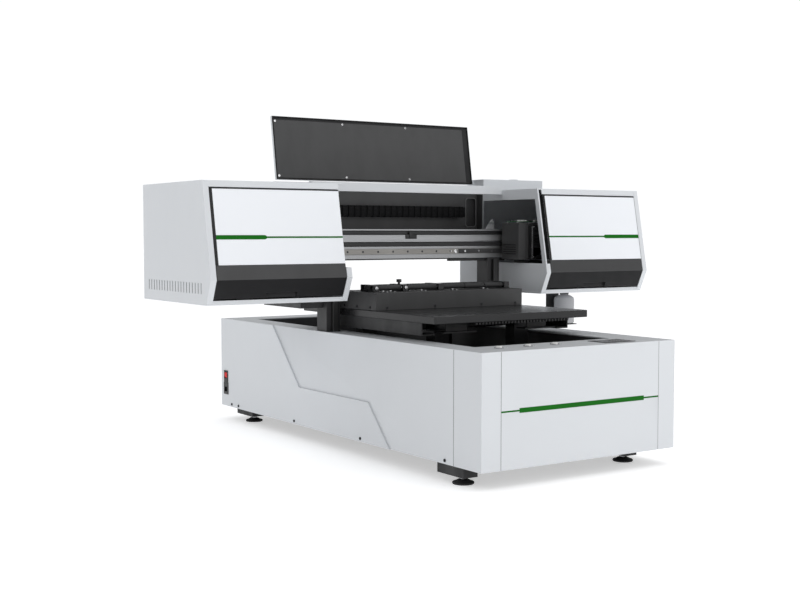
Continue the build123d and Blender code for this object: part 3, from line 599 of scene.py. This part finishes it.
door_white = powder_coat("door_satin_white", (0.90, 0.92, 0.955), 0.3, 0.4, 700, 0.05, 0.012)
visor_dark = powder_coat("visor_satin_dark", (0.040, 0.040, 0.041), 0.42, 0.55, 1200, 0.12, 0.08)
# Darker copy of the visor coat for its downward facets: painted shade on the underside.
visor_underside_shade = powder_coat("visor_underside_painted_shade", (0.014, 0.014, 0.015), 0.5, 0.62, 1200, 0.12, 0.08)
dulled(visor_underside_shade, 0.15)
for side in ("left", "right"):
    body = side + "_door"
    leaf = eased(
        side + "_door_panel", side + "_door_leaf", door_white, body, 0.0012, 3,
    )
    leaf.data.materials.append(pad_rubber)
    for face in leaf.data.polygons:
        if abs(face.normal.x) > 0.9:
            face.material_index = 1
    skirt = eased(
        side + "_door_skirt", side + "_door_visor", visor_dark, body, 0.0012, 3,
    )
    skirt.data.materials.append(visor_underside_shade)
    skirt.data.materials.append(painted_slit_shade)
    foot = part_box(side + "_door_visor")[0].z
    for face in skirt.data.polygons:
        x, z = face.center.x, face.center.z
        # Walls of the pull recess get the painted slit shade, a painted shadow in the recess.
        in_pull = z < foot + PULL_TOP and abs(abs(x) - PULL_X) < PULL_HALF
        pull_wall = face.normal.y < -0.97 or face.normal.z < -0.95 or abs(face.normal.x) > 0.95
        if in_pull and foot + 0.001 < z and pull_wall:
            face.material_index = 2
        elif face.normal.z < -0.1 and z > foot + 0.001:
            face.material_index = 1
    low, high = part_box(side + "_door_leaf")
    lean = (high.y - 0.015 - low.y) / (high.z - low.z)
    trim = bmesh.new()
    for z_low, z_high, x_low, x_high in (
        (low.z, high.z, low.x, low.x + 0.0072), (high.z - 0.0030, high.z, low.x + 0.0072, high.x),
    ):
        outline = ((x_low, z_low), (x_high, z_low), (x_high, z_high), (x_low, z_high))
        corners = [(x, low.y + lean * (z - low.z) - 0.0007, z) for x, z in outline]
        raised(trim, corners, (0, 0.0009, 0))
    finished(side + "_door_seal", trim, pad_rubber, body)
    outer, inner, sign = (low.x, high.x, -1) if side == "left" else (high.x, low.x, 1)
    turn = outer - sign * BROAD_REACH[side]
    span = (
        (outer - sign * 0.001, STRIPE_BROAD), (turn, STRIPE_BROAD),
        (turn - sign * 0.006, STRIPE_NARROW), (inner + sign * 0.001, STRIPE_NARROW),
    )
    stripe_y = low.y + lean * (STRIPE_Z - low.z)
    corners = [(x, stripe_y + lean * half - 0.0006, STRIPE_Z + half) for x, half in span]
    corners += [(x, stripe_y - lean * half - 0.0006, STRIPE_Z - half) for x, half in reversed(span)]
    strip = bmesh.new()
    raised(strip, corners, (0, 0.0008, 0))
    finished(side + "_door_stripe", strip, green_acrylic, body)


# ---- Lid ----------------------------------------------------------------------------------------
# A shallow white tray hinged along its rear edge and standing open, lined with a dark sheet that is
# held by eight bright screws.
LID_OPEN, LID_SCREW_ROWS = 99, (0.017, 0.184)
liner_coat = powder_coat("liner_dark_grey", (0.060, 0.060, 0.061), 0.6, 0.72, 1500, 0.2, 0.05)
lid_shell = eased("lid_shell", "lid_tray", white_coat, "lid", 0.0006)
lid_black = powder_coat("lid_inside_black", (0.016, 0.016, 0.017), 0.5, 0.65, 1300, 0.2, 0.1)
lid_shell.data.materials.append(lid_black)
lining = eased("lid_lining", "lid_liner", liner_coat, "lid", 0.0003)
low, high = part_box("lid_liner")
lid_screws = bmesh.new()
lid_angle = math.radians(LID_OPEN)
lid_along = Vector((0, -math.cos(lid_angle), math.sin(lid_angle)))
lid_out = Vector((0, -lid_along.z, lid_along.y))
hinge = Vector((0, 0.250, 0.773))
for vertex in lining.data.vertices:
    if (vertex.co - hinge).dot(lid_out) > 0.0050:
        vertex.co -= lid_out * 0.0004
tray_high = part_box("lid_tray")[1]
for face in lid_shell.data.polygons:
    offset = face.center - hinge
    inside = abs(offset.x) < tray_high.x - 0.0005 and 0.0056 < offset.dot(lid_along) < 0.1975
    if inside and face.normal.dot(lid_out) > -0.5:
        face.material_index = 1
    if offset.dot(lid_out) > 0.0085:
        face.material_index = 1
for index in range(4):
    x = low.x + 0.006 + index * (high.x - low.x - 0.012) / 3
    for distance in LID_SCREW_ROWS:
        head = hinge + Vector((x, 0, 0)) + lid_along * distance + lid_out * 0.0055
        screw(lid_screws, head, lid_out, 0.0036, 0.0003)
finished("lid_lining_screws", lid_screws, stainless, "lid")
seal = bmesh.new()
for left, right, near, far in (
    (high.x - 0.016, high.x + 0.003, 0.012, 0.192), (low.x - 0.003, high.x - 0.016, 0.188, 0.192),
):
    corners = [hinge + Vector((x, 0, 0)) + lid_along * distance + lid_out * 0.0054
               for x, distance in ((left, near), (right, near), (right, far), (left, far))]
    raised(seal, corners, lid_out * 0.0005)
finished("lid_seal", seal, pad_rubber, "lid")


# ---- Beam, its rail and the belt ----------------------------------------------------------------
# An extruded, clear anodised aluminium beam with two grooves, the ground carriage rail with its
# bolts and the toothed belt that pulls the carriage.
BEAM_BOLT_COUNT, FIRST_BEAM_BOLT, BEAM_BOLT_PITCH = 14, -0.5645, 0.0528


def drawn_aluminium(name, colour):
    """Extruded aluminium with die lines along X under clear anodising."""
    material, nodes, links, shader, place = blank_finish(name)
    lines = grain(nodes, links, place, 260.0, 5.0, (0.01, 1, 1))
    cloud = grain(nodes, links, place, 5.0, 3.0, (0.3, 1, 1))
    shader.inputs["Metallic"].default_value = 0.9
    shader.inputs["Anisotropic"].default_value = 0.4
    dark = tuple(channel * 0.8 for channel in colour)
    mixed = nodes.new("ShaderNodeMath")
    mixed.operation = "MULTIPLY_ADD"
    links.new(spread(nodes, links, lines, 0.0, 0.6), mixed.inputs[0])
    mixed.inputs[1].default_value = 1.0
    links.new(spread(nodes, links, cloud, 0.0, 0.4), mixed.inputs[2])
    links.new(tint(nodes, links, mixed.outputs["Value"], dark, colour), shader.inputs["Base Color"])
    links.new(spread(nodes, links, lines, 0.26, 0.42), shader.inputs["Roughness"])
    links.new(relief(nodes, links, lines, 0.1, 0.0001), shader.inputs["Normal"])
    return material


aluminium = drawn_aluminium("drawn_aluminium", (0.40, 0.405, 0.415))
eased("cross_beam", "beam", aluminium, "head", 0.0015, 3)
x_rail = ground_steel("carriage_rail_steel", (0.29, 0.28, 0.265), 0.3, 0.42, (0.02, 1, 1), 300)
lift_rail = ground_steel("lift_rail_steel", (0.10, 0.10, 0.10), 0.35, 0.5, (1, 1, 0.02), 300)
rails = eased("head_linear_rails", "head_rails", x_rail, "head", 0.0006)
rails.data.materials.append(lift_rail)
rail_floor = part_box("beam")[0].z
for face in rails.data.polygons:
    if face.center.z < rail_floor - 0.002:
        face.material_index = 1
low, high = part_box("beam")
beam_bolts = bmesh.new()
beam_front = low.y
rail_centre = low.z + 0.022
for index in range(BEAM_BOLT_COUNT):
    x = FIRST_BEAM_BOLT + index * BEAM_BOLT_PITCH
    screw(beam_bolts, (x, beam_front - 0.010, rail_centre), (0, -1, 0), 0.0032, 0.0001)
finished("carriage_rail_bolts", beam_bolts, black_screw, "head")
grooves = bmesh.new()
for z_low, z_high in ((low.z + 0.0385, low.z + 0.0495), (low.z + 0.0725, low.z + 0.0835)):
    bar(grooves, (low.x + 0.001, beam_front + 0.0035, z_low),
        (high.x - 0.001, beam_front + 0.0049, z_high), 0.0003)
bar(grooves, (low.x + 0.001, beam_front + 0.002, low.z - 0.0025),
    (high.x - 0.001, beam_front + 0.020, low.z), 0.0004)
bar(grooves, (0.130, beam_front + 0.004, low.z - 0.009),
    (0.345, beam_front + 0.020, low.z - 0.0024), 0.0006)
bar(grooves, (-0.038, beam_front - 0.0022, low.z + 0.0600),
    (0.002, beam_front + 0.0005, low.z + 0.0730), 0.0006)
bar(grooves, (-0.026, beam_front - 0.0042, low.z + 0.0625),
    (-0.010, beam_front - 0.0015, low.z + 0.0820), 0.0006)
finished("beam_groove_strips", grooves, black_plastic, "head")
sensor = bmesh.new()
outline = ((0.266, 0.0), (0.301, 0.0), (0.301, 0.030), (0.295, 0.033), (0.289, 0.029))
corners = [(x, beam_front + 0.004, high.z + z) for x, z in outline]
raised(sensor, corners, (0, 0.0022, 0))
bar(sensor, (0.266, beam_front + 0.004, high.z),
    (0.301, beam_front + 0.026, high.z + 0.0022), 0.0006)
screw(sensor, (0.2945, beam_front + 0.004, high.z + 0.026), (0, -1, 0), 0.0022, 0.001)
finished("beam_sensor_bracket", sensor, aluminium, "head")
rack = bmesh.new()
bar(rack, (0.152, beam_front - 0.0104, rail_centre - 0.0070),
    (high.x - 0.014, beam_front - 0.0098, rail_centre + 0.0070), 0.0002)
finished("rail_scale_strip", rack, black_plastic, "head")
marks = bmesh.new()
pin(marks, (0.1425, beam_front - 0.0110, rail_centre),
    (0.1425, beam_front - 0.0098, rail_centre), 0.0062, 28, 0.0004)
pin(marks, (0.124, beam_front - 0.0108, rail_centre),
    (0.124, beam_front - 0.0098, rail_centre), 0.0022, 16)
for x in (0.178, 0.231, 0.284):
    pin(marks, (x, beam_front - 0.0108, rail_centre),
        (x, beam_front - 0.0100, rail_centre), 0.0034, 20)
finished("rail_scale_screws", marks, stainless, "head")
dress(black_plastic, "belt_drive", "capping_station", "ink_tanks")
dress(stainless, "drive_pulley")


# ---- Inner back wall and energy chain -----------------------------------------------------------
# A dark grey sheet behind the beam and, along it, the chain of moulded black links that carries
# the carriage's cables and ink tubes.
LINK_PITCH, LINK_LENGTH, LINK_WALL = 0.022, 0.013, 0.006
wall_coat = powder_coat("inner_wall_grey", (0.054, 0.054, 0.055), 0.45, 0.58, 1300, 0.2, 0.06)
eased("inner_back_wall", "back_wall", wall_coat, "head", 0.0008)
chain_plastic = moulded("chain_plastic", (0.005, 0.005, 0.0055), 0.5, 0.65, 1200, 0.2)
dulled(chain_plastic, 0.12)
low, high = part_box("energy_chain")
chain = bmesh.new()
for index in range(round((high.x - low.x + 0.002) / LINK_PITCH)):
    left = low.x + index * LINK_PITCH
    right = left + LINK_LENGTH
    bar(chain, (left, low.y, low.z), (right, high.y - 0.001, low.z + LINK_WALL), 0.0008)
    bar(chain, (left, low.y, high.z - LINK_WALL), (right, high.y - 0.001, high.z), 0.0008)
    bar(chain, (left, low.y, low.z + 0.004), (left + 0.0125, low.y + 0.004, high.z - 0.004), 0.0008)
    bar(chain, (left + 0.010, low.y + 0.002, low.z + 0.002),
        (left + LINK_PITCH - 0.0005, low.y + 0.006, high.z - 0.002), 0.0006)
    for foot, top in ((0.0075, 0.0160), (0.0190, 0.0275)):
        bar(chain, (left + 0.0015, low.y - 0.0006, low.z + foot),
            (left + 0.0110, low.y + 0.001, low.z + top), 0.0006)
bar(chain, (low.x + 0.002, low.y + 0.007, low.z + 0.008),
    (high.x - 0.002, high.y, high.z - 0.008), 0.002)
links_piece = finished("energy_chain_links", chain, chain_plastic, "head")
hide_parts("energy_chain")


# ---- Inner corner liner -------------------------------------------------------------------------
# Dark sheet over the rear of the right inner cheek, and the rounded rim round the cable hole
# beside it.
RIM_WIDTH, RIM_CORNER, HOLE_FOOT, HOLE_TOP = 0.0022, 0.010, 0.650, 0.721
HOLE_X, HOLE_Z = 0.0275, 0.685
liner_grey = powder_coat("corner_liner_grey", (0.030, 0.030, 0.031), 0.5, 0.65, 1300, 0.2, 0.08)
low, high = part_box("back_wall")
corner = bmesh.new()
bar(corner, (high.x - 0.0014, 0.1605, low.z),
    (high.x - 0.0002, low.y - 0.0002, high.z - 0.002), 0.0004)
bar(corner, (high.x - 0.052, high.y + 0.004, low.z + 0.015),
    (high.x - 0.0006, high.y + 0.0055, high.z - 0.012), 0.0004)
finished("corner_liner", corner, liner_grey, "head")
rim_grey = powder_coat("hole_rim_grey", (0.14, 0.14, 0.142), 0.45, 0.6, 1300, 0.2, 0.05)
rim = bmesh.new()
outline = []
for centre_x, centre_z, start in (
    (high.x - 0.018, HOLE_TOP, 0), (high.x - 0.037, HOLE_TOP, 90),
    (high.x - 0.037, HOLE_FOOT, 180), (high.x - 0.018, HOLE_FOOT, 270),
):
    for step in range(7):
        turn = math.radians(start + step * 15)
        across, up = RIM_CORNER * math.cos(turn), RIM_CORNER * math.sin(turn)
        outline.append((centre_x + across, centre_z + up))
ring = [rim.verts.new((x, low.y - 0.0012, z)) for x, z in outline]
wide = []
for x, z in outline:
    x += RIM_WIDTH if x > high.x - HOLE_X else -RIM_WIDTH
    z += RIM_WIDTH if z > HOLE_Z else -RIM_WIDTH
    wide.append(rim.verts.new((x, low.y - 0.0012, z)))
for index in range(len(ring)):
    follow = (index + 1) % len(ring)
    rim.faces.new((ring[index], ring[follow], wide[follow], wide[index]))
grown = bmesh.ops.extrude_face_region(rim, geom=list(rim.faces))
lifted = [item for item in grown["geom"] if isinstance(item, bmesh.types.BMVert)]
bmesh.ops.translate(rim, verts=lifted, vec=(0, 0.0010, 0))
finished("cable_hole_rim", rim, rim_grey, "head")


# ---- Brackets under the head and the waste bottle -----------------------------------------------
# Black folded steel rails under both boxes, and a grey blow-moulded bottle on its hanger on the
# right.
eased("under_rails_and_hanger", "under_brackets", dark_coat, "head", 0.0015)
bottle_plastic = moulded("bottle_plastic", (0.36, 0.36, 0.37), 0.3, 0.45, 300, 0.08, 0.08)
low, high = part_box("waste_bottle")
centre = (low + high) / 2
radius = (high.x - low.x) / 2
bottle = bmesh.new()
outline = (
    (0.0, 0.0), (radius - 0.006, 0.0), (radius - 0.001, 0.003), (radius, 0.008), (radius, 0.078),
    (radius - 0.002, 0.085), (radius - 0.010, 0.091), (0.016, 0.0935), (0.0135, 0.0945),
    (0.0135, 0.0965), (0.0, 0.0965),
)
turned(bottle, [(r, low.z + z) for r, z in outline], centre, 56)
flask = finished("waste_ink_bottle", bottle, bottle_plastic, "head")
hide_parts("waste_bottle")
cap = bmesh.new()
pin(cap, (centre.x, centre.y, low.z + 0.096),
    (centre.x, centre.y, high.z - 0.0005), 0.015, 32, 0.001)
finished("waste_bottle_cap", cap, black_plastic, "head")


# ---- Bed ----------------------------------------------------------------------------------------
# A thick black anodised vacuum plate on a saddle, with a toothed support under its front edge
# and C-section channels under both long edges.
def anodised(name, colour):
    """Black anodised plate, ground flat: glossy, with faint grinding lines and handling haze."""
    material, nodes, links, shader, place = blank_finish(name)
    lines = grain(nodes, links, place, 220.0, 5.0, (1, 0.02, 1))
    haze = grain(nodes, links, place, 3.0, 2.0)
    light = tuple(channel * 1.12 for channel in colour)
    shader.inputs["Metallic"].default_value = 0.35
    patches = spread(nodes, links, haze, 0.0, 1.0)
    links.new(tint(nodes, links, patches, colour, light), shader.inputs["Base Color"])
    links.new(spread(nodes, links, haze, 0.20, 0.28), shader.inputs["Roughness"])
    links.new(relief(nodes, links, lines, 0.05, 0.0001), shader.inputs["Normal"])
    return material


black_anodised = anodised("black_anodised_plate", (0.020, 0.020, 0.021))
eased("vacuum_bed", "bed_plate", black_anodised, "bed", 0.0015, 3)
eased("bed_front_support", "bed_supports", dark_coat, "bed", 0.0006)
eased("bed_edge_channels", "bed_channels", dark_coat, "bed", 0.0012)
# Two dark ribs under the bed, put in as painted shade that hides the light deck below it.
RIB_REACH, RIB_THICKNESS, RIB_FLANGE = 0.2125, 0.004, 0.022
rib_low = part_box("bed_channels")[0]
plate_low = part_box("bed_plate")[0]
shade_ribs = bmesh.new()
for y in (-0.205, 0.110):
    bar(shade_ribs, (-RIB_REACH, y, rib_low.z + 0.002),
        (RIB_REACH, y + RIB_THICKNESS, plate_low.z), 0.0008)
    bar(shade_ribs, (-RIB_REACH, y, rib_low.z + 0.002),
        (RIB_REACH, y + RIB_FLANGE, rib_low.z + 0.006), 0.0008)
finished("bed_shade_ribs", shade_ribs, dark_coat, "bed")
dress(black_anodised, "bed_saddle")
dress(rail_steel, "bed_bearings")


# ---- Rotary fixture -----------------------------------------------------------------------------
# A folded black housing across the bed with four bearing stands and two steel rollers that turn a
# bottle or a mug under the print heads.
SLEEVES = ((-0.223, -0.147), (-0.123, -0.022), (0.002, 0.078), (0.081, 0.152), (0.155, 0.223))
SLEEVE_WALL = 0.0022
FRONT_SCREWS = (-0.225, -0.060, 0.108, 0.236)
housing_coat = powder_coat(
    "rotary_housing_coat", (0.040, 0.040, 0.041), 0.42, 0.58, 1300, 0.25, 0.1,
)
eased("rotary_cover", "rotary_housing", housing_coat, "bed", 0.0015, 3)
eased("roller_stands", "roller_blocks", black_anodised, "bed", 0.0015, 3)
roller_rubber = moulded("roller_rubber", (0.020, 0.020, 0.021), 0.5, 0.7, 800, 0.3)
for roller in ("front_roller", "rear_roller"):
    low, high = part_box(roller)
    centre = (low + high) / 2
    radius = (high.z - low.z) / 2
    shaft = bmesh.new()
    pin(shaft, (low.x, centre.y, centre.z), (high.x, centre.y, centre.z), radius, 32, 0.0008)
    made = finished(roller + "_shaft", shaft, stainless, roller)
    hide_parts(roller)
    sleeves = bmesh.new()
    for start, end in SLEEVES:
        pin(sleeves, (start, centre.y, centre.z), (end, centre.y, centre.z),
            radius + SLEEVE_WALL, 32, 0.0008)
    finished(roller + "_sleeves", sleeves, roller_rubber, roller)
fixture_screws = bmesh.new()
low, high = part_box("rotary_housing")
for x in FRONT_SCREWS:
    screw(fixture_screws, (x, low.y, low.z + 0.008), (0, -1, 0), 0.0036, 0.0012)
for y in (0.030, 0.100, 0.170):
    screw(fixture_screws, (low.x, low.y + y, low.z + 0.008), (-1, 0, 0), 0.0036, 0.0012)
    screw(fixture_screws, (high.x, low.y + y, low.z + 0.008), (1, 0, 0), 0.0036, 0.0012)
for x in FRONT_SCREWS:
    screw(fixture_screws, (x, low.y, low.z + 0.001), (0, -1, 0), 0.0020, 0.0008)
finished("rotary_cover_screws", fixture_screws, black_screw, "bed")
block_low, block_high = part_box("roller_blocks")
fittings = bmesh.new()
top_z = high.z
for x in (-0.2170, -0.1920, -0.0850, 0.0260, 0.1400):
    pin(fittings, (x, low.y + 0.034, top_z - 0.0002),
        (x, low.y + 0.034, top_z + 0.0045), 0.0042, 20, 0.0006)
    screw(fittings, (x + 0.010, low.y + 0.026, top_z), (0, 0, 1), 0.0030, 0.0018)
for x in (-0.2350, -0.1350):
    pin(fittings, (x, block_low.y + 0.0010, top_z + 0.011),
        (x, block_low.y - 0.0035, top_z + 0.011), 0.0052, 24, 0.0006)
finished("roller_fittings", fittings, screw_steel, "bed")
knob = bmesh.new()
knob_x, knob_y = -0.1350, (block_low.y + block_high.y) / 2
pin(knob, (knob_x, knob_y, block_high.z - 0.0002),
    (knob_x, knob_y, block_high.z + 0.005), 0.0035, 20, 0.0004)
pin(knob, (knob_x, knob_y, block_high.z + 0.005),
    (knob_x, knob_y, block_high.z + 0.014), 0.0075, 24, 0.0016)
finished("roller_lock_knob", knob, black_plastic, "bed")


# ---- Carriage -----------------------------------------------------------------------------------
# A dark folded cover with louvres low on its side, the finned lamp on its front, print heads
# inside, and on top two circuit boards with bright connectors.
carriage_coat = powder_coat("carriage_dark_coat", (0.062, 0.062, 0.063), 0.4, 0.52, 1300, 0.2, 0.08)
eased("carriage_shell", "carriage_cover", carriage_coat, "carriage", 0.001)
eased("carriage_back_plate", "carriage_frame", dark_coat, "carriage", 0.0008)
eased("curing_lamp", "uv_lamp", black_plastic, "carriage", 0.0012)
dress(stainless, "print_heads")
board_green = gloss("circuit_board_green", (0.010, 0.110, 0.030), 0.3, 0.45, 0.2)
white_nylon = moulded("white_nylon", (0.72, 0.72, 0.70), 0.35, 0.5)
low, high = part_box("carriage_cover")
boards = bmesh.new()
sockets = bmesh.new()
bright = bmesh.new()
for left, right in ((low.x + 0.006, low.x + 0.060), (low.x + 0.072, low.x + 0.128)):
    bar(boards, (left, low.y + 0.016, high.z + 0.0030),
        (right, high.y - 0.012, high.z + 0.0046), 0.0002)
    for x in (left + 0.003, right - 0.003):
        for y in (low.y + 0.020, high.y - 0.016):
            pin(bright, (x, y, high.z - 0.0002), (x, y, high.z + 0.0031), 0.0018, 12)
    for index in range(3):
        x = left + 0.010 + index * 0.013
        bar(sockets, (x, low.y + 0.022, high.z + 0.0045),
            (x + 0.009, low.y + 0.030, high.z + 0.0095), 0.0006)
        bar(bright, (x, high.y - 0.028, high.z + 0.0045),
            (x + 0.008, high.y - 0.020, high.z + 0.0080), 0.0006)
finished("carriage_boards", boards, board_green, "carriage")
finished("carriage_sockets", sockets, white_nylon, "carriage")
finished("carriage_bright_parts", bright, stainless, "carriage")
shadows = bmesh.new()
for index in range(5):
    z = low.z + 0.016 + index * 0.007
    bar(shadows, (low.x + 0.0012, low.y + 0.016, z + 0.0004),
        (low.x + 0.0018, high.y - 0.007, z + 0.0026), 0)
bar(shadows, (low.x + 0.0285, low.y - 0.0002, low.z + 0.002),
    (low.x + 0.0297, low.y + 0.0006, high.z - 0.002), 0)
finished("carriage_slot_shadows", shadows, painted_slit_shade, "carriage")
lamp_low, lamp_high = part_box("uv_lamp")
edge = bmesh.new()
bar(edge, (lamp_low.x - 0.0008, lamp_low.y + 0.0015, lamp_low.z + 0.004),
    (lamp_low.x + 0.0004, lamp_low.y + 0.0045, lamp_high.z - 0.004), 0.0003)
for z in (lamp_low.z + 0.008, lamp_high.z - 0.006):
    screw(edge, (lamp_low.x + 0.004, lamp_low.y, z), (0, -1, 0), 0.0024, 0.001)
finished("curing_lamp_edge", edge, stainless, "carriage")
